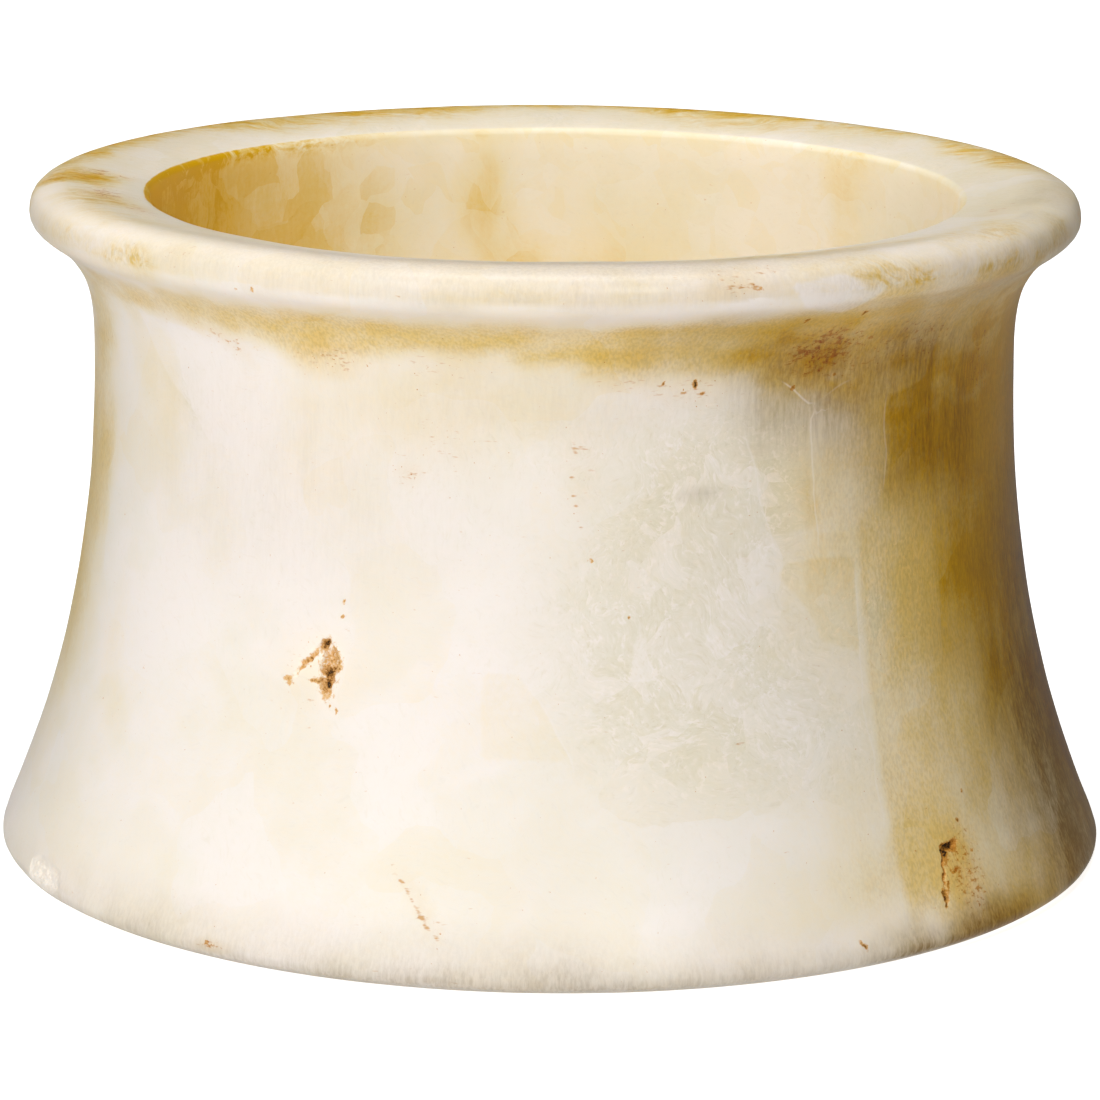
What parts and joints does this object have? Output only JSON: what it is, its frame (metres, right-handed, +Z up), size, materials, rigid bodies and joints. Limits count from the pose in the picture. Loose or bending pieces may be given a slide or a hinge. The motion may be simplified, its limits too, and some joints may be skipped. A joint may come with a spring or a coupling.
{
  "type": "alabaster vessel",
  "caption": "Squat waisted stone vessel with a flared foot, a thick rounded rim and a wide straight-sided hollow; stands on its flat base to hold ointment or small things.",
  "frame": {"origin": "centre of the flat underside", "axes": "+Z up along the axis of the turned shape; -Y is the front, the side with the two natural hollows; +X is to the right seen from the front"},
  "size_m": [0.13, 0.13, 0.0783],
  "materials": {
    "alabaster": "polished, faintly translucent banded calcite, cream to honey, with small iron-brown stains"
  },
  "bodies": {
    "root": {"vessel": "alabaster"}
  },
  "joints": []
}
